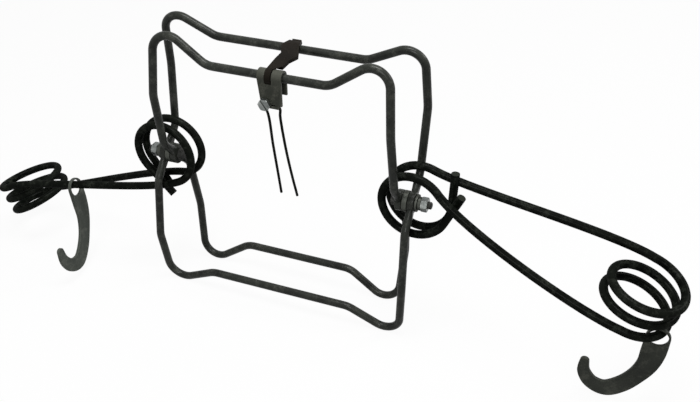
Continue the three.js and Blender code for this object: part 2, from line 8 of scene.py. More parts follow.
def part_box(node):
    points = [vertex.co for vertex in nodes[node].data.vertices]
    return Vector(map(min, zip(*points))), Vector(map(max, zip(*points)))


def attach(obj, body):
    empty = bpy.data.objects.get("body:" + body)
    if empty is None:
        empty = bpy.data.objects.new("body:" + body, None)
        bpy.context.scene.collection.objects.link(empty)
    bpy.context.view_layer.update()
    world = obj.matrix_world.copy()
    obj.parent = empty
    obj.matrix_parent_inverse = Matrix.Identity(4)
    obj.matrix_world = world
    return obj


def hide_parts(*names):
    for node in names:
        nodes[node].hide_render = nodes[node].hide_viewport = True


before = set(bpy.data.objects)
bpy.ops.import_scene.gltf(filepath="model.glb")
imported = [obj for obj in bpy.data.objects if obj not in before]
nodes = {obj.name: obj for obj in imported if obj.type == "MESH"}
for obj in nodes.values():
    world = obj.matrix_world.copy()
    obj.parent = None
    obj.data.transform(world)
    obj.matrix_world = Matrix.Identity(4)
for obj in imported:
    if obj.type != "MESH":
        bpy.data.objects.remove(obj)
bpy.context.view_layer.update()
mm = 0.001

# The pivot line's middle, from the spacers between the jaw eyes
spacerBoxes = [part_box("pivot_spacer_right"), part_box("pivot_spacer_left")]
pivotMid = sum((low + high for low, high in spacerBoxes), Vector()) / 4
pivotMid.x = (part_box("jaw_outer")[0].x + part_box("jaw_outer")[1].x) / 2
print("stage: frame loaded, pivot middle at", [round(v, 5) for v in pivotMid])


# Small helpers; lengths are in mm from the pivot line's middle until toFrame
def lerp(a, b, t):
    return a + (b - a) * t


def smoothStep(t):
    t = min(max(t, 0.0), 1.0)
    return t * t * (3 - 2 * t)


def toFrame(point):
    return pivotMid + point * mm


# The length from the line's start to each of its points
def runLengths(points):
    lengths = [0.0]
    for a, b in zip(points, points[1:]):
        lengths.append(lengths[-1] + (b - a).length)
    return lengths


def addObject(name, mesh):
    obj = bpy.data.objects.new(name, mesh)
    bpy.context.scene.collection.objects.link(obj)
    return obj


def bakedMesh(obj):
    graph = bpy.context.evaluated_depsgraph_get()
    mesh = bpy.data.meshes.new_from_object(obj.evaluated_get(graph), depsgraph=graph)
    obj.modifiers.clear()
    obj.data = mesh


# Edges sharper than these degrees stay sharp in the shading
sharpFrom = {"jaw": 38, "plate": 40, "wire": 50, "thread": 60}


def shadeByAngle(obj, degrees):
    obj.data.shade_smooth()
    obj.data.set_sharp_from_angle(angle=math.radians(degrees))


def evenNormals(obj):
    even = obj.modifiers.new("evenNormals", "WEIGHTED_NORMAL")
    even.keep_sharp = True
    bakedMesh(obj)


def finishPiece(obj, body, material, slotName, *replaced):
    obj.data.materials.clear()
    obj.data.materials.append(material)
    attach(obj, body)
    if replaced:
        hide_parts(*replaced)


# Camera, fitted to the photograph
cameraFit = {
    "lens": 43.62,
    "sensor": 36.0,
    "azimuth": 21.19,
    "elevation": 33.74,
    "roll": -0.15,
    "position": Vector((279.37, -562.14, 390.5)),
    "clipEnd": 50,
}


def addCamera(fit):
    azimuth, elevation, roll = (math.radians(fit[k]) for k in ("azimuth", "elevation", "roll"))
    back = Vector((math.sin(azimuth) * math.cos(elevation), -math.cos(azimuth) * math.cos(elevation),
                   math.sin(elevation)))
    level = Vector((math.cos(azimuth), math.sin(azimuth), 0))
    upright = back.cross(level)
    right = level * math.cos(roll) + upright * math.sin(roll)
    up = upright * math.cos(roll) - level * math.sin(roll)
    data = bpy.data.cameras.new("photoCamera")
    data.lens = fit["lens"]
    data.sensor_width = fit["sensor"]
    data.clip_end = fit["clipEnd"]
    camera = bpy.data.objects.new("photoCamera", data)
    turn = Matrix((right, up, back)).transposed().to_4x4()
    camera.matrix_world = Matrix.Translation(toFrame(fit["position"])) @ turn
    bpy.context.scene.collection.objects.link(camera)
    bpy.context.scene.camera = camera


addCamera(cameraFit)


# Node building
def addNode(tree, kind, inputs=None, **settings):
    node = tree.nodes.new(kind)
    for key, value in settings.items():
        setattr(node, key, value)
    for key, value in (inputs or {}).items():
        if isinstance(value, bpy.types.NodeSocket):
            tree.links.new(value, node.inputs[key])
        else:
            node.inputs[key].default_value = value
    return node


def noiseField(tree, vector, scale, noise):
    return addNode(tree, "ShaderNodeTexNoise", {"Vector": vector, "Scale": scale, "Detail": noise["detail"],
                                                "Roughness": noise["roughness"]}).outputs["Fac"]


def remap(tree, value, low, high, toLow=0.0, toHigh=1.0):
    return addNode(tree, "ShaderNodeMapRange", {"Value": value, "From Min": low, "From Max": high,
                                                "To Min": toLow, "To Max": toHigh}).outputs["Result"]


def mathNode(tree, operation, a, b):
    return addNode(tree, "ShaderNodeMath", {0: a, 1: b}, operation=operation).outputs[0]


def mixColour(tree, share, a, b):  # sockets 0, 6, 7 and output 2 are the ones for colours
    return addNode(tree, "ShaderNodeMix", {0: share, 6: a, 7: b}, data_type="RGBA").outputs[2]


def makeGroup(name, inputs, outputs):
    tree = bpy.data.node_groups.new(name, "ShaderNodeTree")
    for label, kind in inputs:
        tree.interface.new_socket(name=label, in_out="INPUT", socket_type=kind)
    for label, kind in outputs:
        tree.interface.new_socket(name=label, in_out="OUTPUT", socket_type=kind)
    return tree, tree.nodes.new("NodeGroupInput").outputs, tree.nodes.new("NodeGroupOutput").inputs


# Oiled steel skin: blotches of oil and scale, fine grain, and rubbed bright spots
skinSizes = {
    "blotch": {"detail": 5.0, "roughness": 0.6}, "grain": {"detail": 3.0, "roughness": 0.65},
    "patch": {"detail": 6.0, "roughness": 0.7}, "patchFiner": 3.1,  # patches, against the blotches
    "blotchRange": (0.36, 0.64), "rubbedRange": (0.66, 0.86), "edgeRange": (0.515, 0.58),
    "roughRange": (0.38, 0.62), "grainInRubbed": 0.35, "grainInHeight": 0.6, "coatRoughness": 0.27,
}


def buildSteelSkin():
    number, colour, vector = "NodeSocketFloat", "NodeSocketColor", "NodeSocketVector"
    tree, given, made = makeGroup(
        "oiledSteelSkin",
        [("Vector", vector), ("Blotch Scale", number), ("Grain Scale", number), ("Deep", colour),
         ("Body", colour), ("Worn", colour), ("Wear", number), ("Smooth", number), ("Rough", number)],
        [("Color", colour), ("Roughness", number), ("Height", number)])
    patchScale = mathNode(tree, "MULTIPLY", given["Blotch Scale"], skinSizes["patchFiner"])
    blotch = noiseField(tree, given["Vector"], given["Blotch Scale"], skinSizes["blotch"])
    grain = noiseField(tree, given["Vector"], given["Grain Scale"], skinSizes["grain"])
    patch = noiseField(tree, given["Vector"], patchScale, skinSizes["patch"])
    ground = mixColour(tree, remap(tree, blotch, *skinSizes["blotchRange"]), given["Deep"], given["Body"])
    grainShare = mathNode(tree, "MULTIPLY", grain, skinSizes["grainInRubbed"])
    rubbed = remap(tree, mathNode(tree, "ADD", patch, grainShare), *skinSizes["rubbedRange"])
    point = addNode(tree, "ShaderNodeNewGeometry").outputs["Pointiness"]
    edge = remap(tree, point, *skinSizes["edgeRange"])
    mask = mathNode(tree, "MULTIPLY", mathNode(tree, "MAXIMUM", rubbed, edge), given["Wear"])
    tree.links.new(mixColour(tree, mask, ground, given["Worn"]), made["Color"])
    halves = [mathNode(tree, "MULTIPLY", field, 0.5) for field in (grain, blotch)]
    roughness = remap(tree, mathNode(tree, "ADD", *halves), *skinSizes["roughRange"],
                      given["Smooth"], given["Rough"])
    tree.links.new(roughness, made["Roughness"])
    grainHeight = mathNode(tree, "MULTIPLY", grain, skinSizes["grainInHeight"])
    tree.links.new(mathNode(tree, "ADD", grainHeight, patch), made["Height"])
    return tree


steelSkin = buildSteelSkin()


def steelMaterial(name, look):
    material = bpy.data.materials.new(name)
    material.use_nodes = True
    tree = material.node_tree
    shader = tree.nodes["Principled BSDF"]
    coords = addNode(tree, "ShaderNodeTexCoord").outputs["Object"]
    skin = addNode(tree, "ShaderNodeGroup", {"Vector": coords}, node_tree=steelSkin)
    for label in ("Blotch Scale", "Grain Scale", "Wear", "Smooth", "Rough"):
        skin.inputs[label].default_value = look[label]
    for label in ("Deep", "Body", "Worn"):
        skin.inputs[label].default_value = (*look[label], 1)
    tree.links.new(skin.outputs["Color"], shader.inputs["Base Color"])
    tree.links.new(skin.outputs["Roughness"], shader.inputs["Roughness"])
    bump = addNode(tree, "ShaderNodeBump", {"Height": skin.outputs["Height"], "Strength": look["bump"],
                                            "Distance": look["bumpDepth"]})
    tree.links.new(bump.outputs["Normal"], shader.inputs["Normal"])
    shader.inputs["Metallic"].default_value = look["metallic"]
    shader.inputs["Coat Weight"].default_value = look["coat"]
    shader.inputs["Coat Roughness"].default_value = skinSizes["coatRoughness"]
    shader.inputs["Specular IOR Level"].default_value = look["gloss"]
    shader.inputs["Specular Tint"].default_value = (*look["tint"], 1)
    return material


jawLook = {
    "Blotch Scale": 46, "Grain Scale": 620,
    "Deep": (0.0068, 0.0079, 0.0067), "Body": (0.0266, 0.0297, 0.0248),
    "Worn": (0.126, 0.1314, 0.1116), "Wear": 0.36, "Smooth": 0.3, "Rough": 0.5, "bump": 0.35,
    "bumpDepth": 0.0004, "metallic": 0.04, "gloss": 0.05, "coat": 0.24, "tint": (0.4, 0.4, 0.4),
}
springLook = {
    "Blotch Scale": 48, "Grain Scale": 560,
    "Deep": (0.0014, 0.0018, 0.0014), "Body": (0.0043, 0.0054, 0.0041),
    "Worn": (0.054, 0.0612, 0.0486), "Wear": 0.4, "Smooth": 0.34, "Rough": 0.56, "bump": 0.3,
    "bumpDepth": 0.0004, "metallic": 0.0, "gloss": 0.0, "coat": 0.05, "tint": (0.4, 0.4, 0.4),
}
plateLook = {
    "Blotch Scale": 30, "Grain Scale": 700,
    "Deep": (0.016, 0.0184, 0.0154), "Body": (0.0414, 0.045, 0.0377),
    "Worn": (0.14, 0.143, 0.118), "Wear": 0.4, "Smooth": 0.4, "Rough": 0.6, "bump": 0.25,
    "bumpDepth": 0.0003, "metallic": 0.15, "gloss": 0.1, "coat": 0.05, "tint": (0.5, 0.5, 0.5),
}
paleHookLook = dict(plateLook, Deep=(0.04, 0.0465, 0.04), Body=(0.072, 0.08, 0.069),
                    Worn=(0.19, 0.198, 0.174))
dogLook = dict(plateLook, Deep=(0.004, 0.0034, 0.0027), Body=(0.0095, 0.008, 0.0062),
               Worn=(0.036, 0.03, 0.023), metallic=0.0, gloss=0.02, coat=0.03)
# Painted light: the bracket's colours are a lighter copy of the plate steel all over, standing in for its
# top lit from above; its coat is a real gloss
bracketPaintedLightLook = dict(plateLook, Deep=(0.0215, 0.024, 0.019), Body=(0.054, 0.058, 0.046),
                   Worn=(0.2, 0.2, 0.162), coat=0.12)
wireLook = dict(springLook, Body=(0.009, 0.009, 0.0081), Smooth=0.42)
zincLook = {
    "Blotch Scale": 160, "Grain Scale": 1500,
    "Deep": (0.07, 0.077, 0.076), "Body": (0.18, 0.196, 0.19),
    "Worn": (0.46, 0.48, 0.46), "Wear": 0.5, "Smooth": 0.24, "Rough": 0.42, "bump": 0.2,
    "bumpDepth": 0.0002, "metallic": 1.0, "gloss": 0.5, "coat": 0.0, "tint": (1, 1, 1),
}
dullLook = dict(zincLook, Deep=(0.0108, 0.0122, 0.0108), Body=(0.0468, 0.0504, 0.045),
                Worn=(0.198, 0.207, 0.18), Smooth=0.34, Rough=0.55, metallic=0.7, gloss=0.1,
                tint=(0.4, 0.4, 0.4))
boltLook = dict(dullLook, Deep=(0.0072, 0.0072, 0.0068), Body=(0.0252, 0.0266, 0.0243),
                Worn=(0.144, 0.144, 0.135), metallic=0.3)
jawSteel = steelMaterial("jawSteel", jawLook)
springSteel = steelMaterial("springSteel", springLook)
plateSteel = steelMaterial("plateSteel", plateLook)
paleHookSteel = steelMaterial("paleHookSteel", paleHookLook)
dogSteel = steelMaterial("dogSteel", dogLook)
bracketPaintedLightSteel = steelMaterial("bracketPaintedLightSteel", bracketPaintedLightLook)
wireSteel = steelMaterial("wireSteel", wireLook)
zincSteel = steelMaterial("zincSteel", zincLook)
dullSteel = steelMaterial("dullSteel", dullLook)
boltSteel = steelMaterial("boltSteel", boltLook)
print("stage: materials ready")


# Geometry Nodes: a round wire along a line, its ends drawn in by the taper attribute
def buildWireTree():
    tree = bpy.data.node_groups.new("wireAlongLine", "GeometryNodeTree")
    tree.interface.new_socket(name="Geometry", in_out="INPUT", socket_type="NodeSocketGeometry")
    for label, kind in (("Radius", "NodeSocketFloat"), ("Sides", "NodeSocketInt"),
                        ("Steel", "NodeSocketMaterial")):
        tree.interface.new_socket(name=label, in_out="INPUT", socket_type=kind)
    tree.interface.new_socket(name="Geometry", in_out="OUTPUT", socket_type="NodeSocketGeometry")
    given = tree.nodes.new("NodeGroupInput").outputs
    made = tree.nodes.new("NodeGroupOutput").inputs
    line = addNode(tree, "GeometryNodeMeshToCurve", {"Mesh": given["Geometry"]}).outputs["Curve"]
    taper = addNode(tree, "GeometryNodeInputNamedAttribute", {"Name": "taper"}, data_type="FLOAT")
    drawn = addNode(tree, "GeometryNodeSetCurveRadius", {"Curve": line,
                                                         "Radius": taper.outputs["Attribute"]})
    circle = addNode(tree, "GeometryNodeCurvePrimitiveCircle", {"Resolution": given["Sides"],
                                                                "Radius": given["Radius"]})
    tube = addNode(tree, "GeometryNodeCurveToMesh", {
        "Curve": drawn.outputs["Curve"], "Profile Curve": circle.outputs["Curve"], "Fill Caps": True})
    real = addNode(tree, "GeometryNodeRealizeInstances", {"Geometry": tube.outputs["Mesh"]})
    steel = addNode(tree, "GeometryNodeSetMaterial", {"Geometry": real.outputs["Geometry"],
                                                      "Material": given["Steel"]})
    tree.links.new(steel.outputs["Geometry"], made["Geometry"])
    return tree


# Geometry Nodes: the ridge of a screw thread, wound along Z, then turned and set at its start
def buildThreadTree():
    tree = bpy.data.node_groups.new("boltThread", "GeometryNodeTree")
    tree.interface.new_socket(name="Geometry", in_out="INPUT", socket_type="NodeSocketGeometry")
    for label, kind in (("Radius", "NodeSocketFloat"), ("Pitch", "NodeSocketFloat"),
                        ("Turns", "NodeSocketFloat"), ("Ridge", "NodeSocketFloat"),
                        ("Start", "NodeSocketVector"), ("Turn", "NodeSocketVector"),
                        ("Steel", "NodeSocketMaterial")):
        tree.interface.new_socket(name=label, in_out="INPUT", socket_type=kind)
    tree.interface.new_socket(name="Geometry", in_out="OUTPUT", socket_type="NodeSocketGeometry")
    given = tree.nodes.new("NodeGroupInput").outputs
    made = tree.nodes.new("NodeGroupOutput").inputs
    rise = mathNode(tree, "MULTIPLY", given["Pitch"], given["Turns"])
    spiral = addNode(tree, "GeometryNodeCurveSpiral", {
        "Resolution": 24, "Rotations": given["Turns"], "Start Radius": given["Radius"],  # 24 a turn
        "End Radius": given["Radius"], "Height": rise})
    ridge = addNode(tree, "GeometryNodeCurvePrimitiveCircle", {"Resolution": 4,  # a square ridge
                                                               "Radius": given["Ridge"]})
    tube = addNode(tree, "GeometryNodeCurveToMesh", {
        "Curve": spiral.outputs["Curve"], "Profile Curve": ridge.outputs["Curve"], "Fill Caps": True})
    placed = addNode(tree, "GeometryNodeTransform", {
        "Geometry": tube.outputs["Mesh"], "Translation": given["Start"], "Rotation": given["Turn"]})
    real = addNode(tree, "GeometryNodeRealizeInstances", {"Geometry": placed.outputs["Geometry"]})
    steel = addNode(tree, "GeometryNodeSetMaterial", {"Geometry": real.outputs["Geometry"],
                                                      "Material": given["Steel"]})
    tree.links.new(steel.outputs["Geometry"], made["Geometry"])
    return tree


wireTree = buildWireTree()
threadTree = buildThreadTree()


def runTree(obj, tree, values):
    modifier = obj.modifiers.new(tree.name, "NODES")
    modifier.node_group = tree
    for item in tree.interface.items_tree:
        if item.item_type == "SOCKET" and item.in_out == "INPUT" and item.name in values:
            modifier[item.identifier] = values[item.name]
    bakedMesh(obj)


# Where the ends are drawn in, as shares of the rounding, and how far
endSizes = {"marks": (0.12, 0.4, 0.75), "drawIn": 0.3}


def lineObject(name, points, endRound):
    lengths = runLengths(points)
    whole = lengths[-1]
    extra = [endRound * share for share in endSizes["marks"]]
    marks = sorted(set(lengths + extra + [whole - e for e in extra]))
    finer = []
    tapers = []
    i = 0
    for mark in marks:
        while i < len(points) - 2 and mark > lengths[i + 1]:
            i += 1
        share = (mark - lengths[i]) / (lengths[i + 1] - lengths[i])
        finer.append(points[i].lerp(points[i + 1], min(max(share, 0), 1)))
        into = min(min(mark, whole - mark) / endRound, 1)
        tapers.append(1 - endSizes["drawIn"] * (1 - math.sqrt(1 - (1 - into) ** 2)))
    mesh = bpy.data.meshes.new(name)
    mesh.from_pydata([toFrame(p) for p in finer], [(k, k + 1) for k in range(len(finer) - 1)], [])
    attribute = mesh.attributes.new("taper", "FLOAT", "POINT")
    attribute.data.foreach_set("value", tapers)
    return addObject(name, mesh)


def wirePiece(name, points, radius, sides, endRound, material):
    obj = lineObject(name, points, endRound)
    runTree(obj, wireTree, {"Radius": radius * mm, "Sides": sides, "Steel": material})
    shadeByAngle(obj, sharpFrom["wire"])
    return obj


# Jaws: one closed rod each, flattened round its two pivot eyes
jawSizes = {
    "rodDia": 7.1, "flatThick": 5.3, "flatSpread": 9.1, "flatReach": 8, "flatFade": 9,
    "eyeRadius": 8.95, "eyeThick": 5.5, "eyeSoft": 0.7, "holeDia": 6.9, "humpHeight": 123.9,
    "bendRadius": 14, "sideRadius": 28, "cornerRadius": 15.3, "dipRadius": 20, "sides": 24, "stepDeg": 5,
    "longestStep": 8, "finerWithin": 30, "eyeSides": 56, "holeSides": 40, "settleRounds": 8,
    "eyeSoftAngles": (0, 0.52, 1.05, math.pi / 2),
}
innerSize = {
    "pivotX": 106.4, "bendX": 106.4, "sideX": 104.8, "cornerX": 100.4, "dipX": 53.2,
    "bendY": 18, "sideY": 25.8, "cornerY": 18.5, "bendZ": 19, "dipDrop": 19.4, "sideShare": 0.57,
}
outerSize = {
    "pivotX": 117, "bendX": 117, "sideX": 118.4, "cornerX": 115.2, "dipX": 68,
    "bendY": 19, "sideY": 26.6, "cornerY": 20, "bendZ": 19, "dipDrop": 14.2, "sideShare": 0.61,
}


def roundPath(corners, stepDeg):
    points = []
    count = len(corners)
    for i, (at, radius) in enumerate(corners):
        before = (corners[i - 1][0] - at).normalized()
        after = (corners[(i + 1) % count][0] - at).normalized()
        half = before.angle(after) / 2
        if not radius or half > math.radians(89):  # nearly straight
            points.append(at.copy())
            continue
        bisector = (before + after).normalized()
        middle = at + bisector * (radius / math.sin(half))
        turn = math.pi - 2 * half
        side = (before - after).normalized()
        parts = max(2, math.ceil(turn / math.radians(stepDeg)))
        for k in range(parts + 1):
            angle = turn / 2 - turn * k / parts
            points.append(middle + (side * math.sin(angle) - bisector * math.cos(angle)) * radius)
    return points


def jawCorners(size, front):
    half = [
        (size["bendX"], size["bendY"], size["bendZ"], jawSizes["bendRadius"]),
        (size["sideX"], size["sideY"], size["sideZ"], jawSizes["sideRadius"]),
        (size["cornerX"], size["cornerY"], size["cornerZ"], jawSizes["cornerRadius"]),
        (size["dipX"], size["dipY"], size["dipZ"], jawSizes["dipRadius"]),
    ]
    up = [(Vector((x, front * y, z)), radius) for x, y, z, radius in half]
    down = [(Vector((-x, front * y, z)), radius) for x, y, z, radius in reversed(half)]
    top = [(Vector((size["pivotX"], 0, 0)), 0), *up, *down]
    return top + [(-at, radius) for at, radius in top]


def settled(given):
    hump = jawSizes["humpHeight"]
    size = dict(given, sideZ=hump * given["sideShare"], dipZ=hump - given["dipDrop"])
    size["cornerZ"] = hump + jawSizes["cornerRadius"]
    for _ in range(jawSizes["settleRounds"]):
        dipShare = (size["dipZ"] - size["sideZ"]) / (size["cornerZ"] - size["sideZ"])
        size["dipY"] = lerp(size["sideY"], size["cornerY"], dipShare)
        size["cornerZ"] += hump - max(p.z for p in roundPath(jawCorners(size, 1), jawSizes["stepDeg"]))
    return size


# More points on a closed line, four times as close near the pivots
def denser(points):
    out = []
    longest = jawSizes["longestStep"]
    for i, point in enumerate(points):
        out.append(point)
        ahead = points[(i + 1) % len(points)]
        fromPivot = min(math.hypot(point.y, point.z), math.hypot(ahead.y, ahead.z))
        step = longest / 4 if fromPivot < jawSizes["finerWithin"] else longest
        parts = math.ceil((ahead - point).length / step)
        out.extend(point.lerp(ahead, k / parts) for k in range(1, parts))
    return out


def jawLoop(size, front):
    points = denser(roundPath(jawCorners(size, front), jawSizes["stepDeg"]))
    count = len(points)
    sides = jawSizes["sides"]
    rod = jawSizes["rodDia"]
    verts = []
    for i, point in enumerate(points):
        ahead = (points[(i + 1) % count] - point).normalized()
        along = (ahead + (point - points[i - 1]).normalized()).normalized()
        wide = (Vector((0, 1, 0)) - along * along.y).normalized()
        thin = wide.cross(along)
        far = (math.hypot(point.y, point.z) - jawSizes["flatReach"]) / jawSizes["flatFade"]
        flatShare = (1 - smoothStep(far)) if abs(point.x) > size["pivotX"] / 2 else 0
        wideHalf = lerp(rod, jawSizes["flatSpread"], flatShare) / 2
        thinHalf = lerp(rod, jawSizes["flatThick"], flatShare) / 2
        for j in range(sides):
            angle = 2 * math.pi * (j + 0.5) / sides
            thinPart = min(max(math.cos(angle) * rod / 2, -thinHalf), thinHalf)
            verts.append(toFrame(point + thin * thinPart + wide * (math.sin(angle) * wideHalf)))
    faces = []
    for i in range(count):
        ahead = (i + 1) % count
        for j in range(sides):
            k = (j + 1) % sides
            faces.append((i * sides + j, i * sides + k, ahead * sides + k, ahead * sides + j))
    mesh = bpy.data.meshes.new("jawLoop")
    mesh.from_pydata(verts, [], faces)
    return mesh


# A ring of profile points turned round X; profile is a list of x and radius
def turnedMesh(name, centreX, profile, sides):
    verts = []
    for x, radius in profile:
        for j in range(sides):
            angle = 2 * math.pi * j / sides
            verts.append(toFrame(Vector((centreX + x, radius * math.cos(angle), radius * math.sin(angle)))))
    faces = [tuple(range(sides)), tuple(range(len(verts) - 1, len(verts) - sides - 1, -1))]
    for i in range(len(profile) - 1):
        for j in range(sides):
            k = (j + 1) % sides
            faces.append((i * sides + j, (i + 1) * sides + j, (i + 1) * sides + k, i * sides + k))
    mesh = bpy.data.meshes.new(name)
    mesh.from_pydata(verts, [], faces)
    return mesh


def outward(mesh, weld=0.0):
    shape = bmesh.new()
    shape.from_mesh(mesh)
    if weld:
        bmesh.ops.remove_doubles(shape, verts=shape.verts, dist=weld)
    bmesh.ops.recalc_face_normals(shape, faces=shape.faces)
    shape.to_mesh(mesh)
    shape.free()
    return mesh


def carve(obj, tools, operation):
    for tool in tools:
        step = obj.modifiers.new("carve", "BOOLEAN")
        step.operation = operation
        step.solver = "EXACT"
        step.object = tool
    bakedMesh(obj)
    for tool in tools:
        bpy.data.objects.remove(tool)


def makeJaw(name, given, front, nodeName, body):
    size = settled(given)
    jaw = addObject(name, outward(jawLoop(size, front)))
    half = jawSizes["eyeThick"] / 2
    soft = jawSizes["eyeSoft"]
    radius = jawSizes["eyeRadius"]
    hole = jawSizes["holeDia"] / 2 + 0.01  # clear of the bolt's facets
    angles = jawSizes["eyeSoftAngles"]
    rounded = [(soft * (1 - math.cos(a)), soft * (1 - math.sin(a))) for a in angles]
    profile = [(-half + inX, radius - inR) for inX, inR in rounded]
    profile += [(-x, r) for x, r in reversed(profile)]
    eyes = []
    holes = []
    for side in (-1, 1):
        x = side * size["pivotX"]
        eyes.append(addObject("eye", outward(turnedMesh("eye", x, profile, jawSizes["eyeSides"]))))
        bore = [(-half * 2, hole), (half * 2, hole)]
        holes.append(addObject("hole", outward(turnedMesh("hole", x, bore, jawSizes["holeSides"]))))
    carve(jaw, eyes, "UNION")
    carve(jaw, holes, "DIFFERENCE")
    outward(jaw.data, 1e-6)
    shadeByAngle(jaw, sharpFrom["jaw"])
    finishPiece(jaw, body, jawSteel, "jaw_rod", nodeName)
    return size


outerJaw = makeJaw("outer_jaw_rod", outerSize, 1, "jaw_outer", "outer_jaw")
innerJaw = makeJaw("inner_jaw_rod", innerSize, -1, "jaw_inner", "inner_jaw")
print("stage: jaws made")


# Springs: ring, arm, coil, arm and ring in one wire, in the spring's own frame (+X to the coil)
springSizes = {
    "wireDia": 7.1, "ringRadius": 28.4, "ringHalfGap": 10.5, "ringInward": 5.3, "ringTurn": 290,
    "ringTail": 33, "tailShares": (0.2, 0.4, 0.6, 0.8, 1.0), "armEaseShare": 0.2,
    "armSplayShare": 0.13, "coilReach": 188.2, "coilRadius": 28, "sides": 24, "endRound": 0.9,
    "coilTurns": 2,  # full turns, beside the half turn round the end
    "fine": {"ringSteps": 58, "armSteps": 30, "coilDeg": 5},
    "solid": {"ringSteps": 20, "armSteps": 12, "coilDeg": 15},
}
springPlaces = {
    "right": {"side": 1, "centre": Vector((120.8, -0.3, 1.8)), "droop": 16.4, "yaw": -5,
              "coilTop": 39.5, "coilBottom": 4.7, "rearStart": -5.8, "frontStart": -28.4},
    "left": {"side": -1, "centre": Vector((-114.4, -0.2, 1.9)), "droop": 23.1, "yaw": -1.2,
             "coilTop": 24.4, "coilBottom": -8.4, "rearStart": -10.3, "frontStart": 1},
}


def ringEnd(side, startAngle, steps):
    start = math.radians(startAngle)
    turn = math.radians(springSizes["ringTurn"])
    radius = springSizes["ringRadius"]
    points = []
    for i in range(steps + 1):
        angle = start + turn * i / steps
        y = side * (springSizes["ringHalfGap"] - springSizes["ringInward"] * i / steps)
        points.append(Vector((-radius * math.sin(angle), y, radius * math.cos(angle))))
    end = start + turn
    tail = Vector((-math.cos(end), 0, -math.sin(end))) * springSizes["ringTail"]
    return points + [points[-1] + tail * share for share in springSizes["tailShares"]]


def springArm(ringStart, startAngle, coilStart, coilNext, steps):
    reach = (coilStart - ringStart).length * springSizes["armEaseShare"]
    angle = math.radians(startAngle)
    splay = math.copysign(springSizes["armSplayShare"], ringStart.y)
    out = Vector((math.cos(angle), splay, math.sin(angle))).normalized() * reach
    back = (coilStart - coilNext).normalized() * reach
    a, b, c, d = ringStart, ringStart + out, coilStart + back, coilStart
    line = []
    for i in range(1, steps):
        t = i / steps
        line.append(a * (1 - t) ** 3 + b * 3 * t * (1 - t) ** 2 + c * 3 * t * t * (1 - t) + d * t ** 3)
    return line


# The arms leave the coil along the chord that the solid's coarser coil has
def springPath(squeeze, detail):
    reach = springSizes["coilReach"]
    radius = springSizes["coilRadius"]
    gap = springSizes["ringHalfGap"]
    lean = math.asin(radius / math.hypot(reach, gap)) - math.atan2(gap, reach)
    total = math.pi + 2 * lean + 2 * math.pi * springSizes["coilTurns"]

    def coilPoint(share):
        angle = math.pi / 2 + lean - total * share
        level = lerp(squeeze["coilTop"], squeeze["coilBottom"], share)
        return Vector((reach + radius * math.cos(angle), radius * math.sin(angle), level))

    steps = math.ceil(total / math.radians(detail["coilDeg"]))
    chord = 1 / math.ceil(total / math.radians(springSizes["solid"]["coilDeg"]))
    coil = [coilPoint(i / steps) for i in range(steps + 1)]
    rear = ringEnd(1, squeeze["rearStart"], detail["ringSteps"])
    front = ringEnd(-1, squeeze["frontStart"], detail["ringSteps"])
    armSteps = detail["armSteps"]
    rearArm = springArm(rear[0], squeeze["rearStart"], coil[0], coilPoint(chord), armSteps)
    frontArm = springArm(front[0], squeeze["frontStart"], coil[-1], coilPoint(1 - chord), armSteps)
    return rear[::-1] + rearArm + coil + frontArm[::-1] + front


def springPlace(place):
    flip = Matrix.Rotation(0 if place["side"] > 0 else math.pi, 4, "Y")
    tilt = Matrix.Rotation(math.radians(place["side"] * place["droop"]), 4, "Y")
    swing = Matrix.Rotation(math.radians(place["yaw"]), 4, "Z")
    return Matrix.Translation(place["centre"]) @ swing @ tilt @ flip


springLines = {}
for word, place in springPlaces.items():
    matrix = springPlace(place)
    springLines[word] = [matrix @ p for p in springPath(place, springSizes["solid"])]
    line = [matrix @ p for p in springPath(place, springSizes["fine"])]
    spring = wirePiece(f"spring_wire_{word}", line, springSizes["wireDia"] / 2,
                       springSizes["sides"], springSizes["endRound"], springSteel)
    finishPiece(spring, f"spring_{word}", springSteel, "spring_wire", f"spring_{word}")
print("stage: springs made")


# Curves through given points; alpha 0 is even, 0.5 is centripetal
def splinePoint(a, b, c, d, t, alpha):
    if alpha == 0:
        ta, tb, tc, td = -1.0, 0.0, 1.0, 2.0
    else:
        gaps = [max((q - p).length ** alpha, 1e-4) for p, q in ((a, b), (b, c), (c, d))]
        ta, tb, tc, td = -gaps[0], 0.0, gaps[1], gaps[1] + gaps[2]
    s = lerp(tb, tc, t)
    ab = a * ((tb - s) / (tb - ta)) + b * ((s - ta) / (tb - ta))
    bc = b * ((tc - s) / (tc - tb)) + c * ((s - tb) / (tc - tb))
    cd = c * ((td - s) / (td - tc)) + d * ((s - tc) / (td - tc))
    abc = ab * ((tc - s) / (tc - ta)) + bc * ((s - ta) / (tc - ta))
    bcd = bc * ((td - s) / (td - tb)) + cd * ((s - tb) / (td - tb))
    return abc * ((tc - s) / (tc - tb)) + bcd * ((s - tb) / (tc - tb))


def spline(points, steps, alpha):
    if alpha:
        ends = [points[0] * 2 - points[1], points[-1] * 2 - points[-2]]
    else:
        ends = [points[0], points[-1]]
    padded = [ends[0], *points, ends[1]]
    spans = len(points) - 1
    out = []
    for i in range(steps + 1):
        u = spans * i / steps
        k = min(int(u), spans - 1)
        out.append(splinePoint(*padded[k:k + 4], u - k, alpha))
    return out


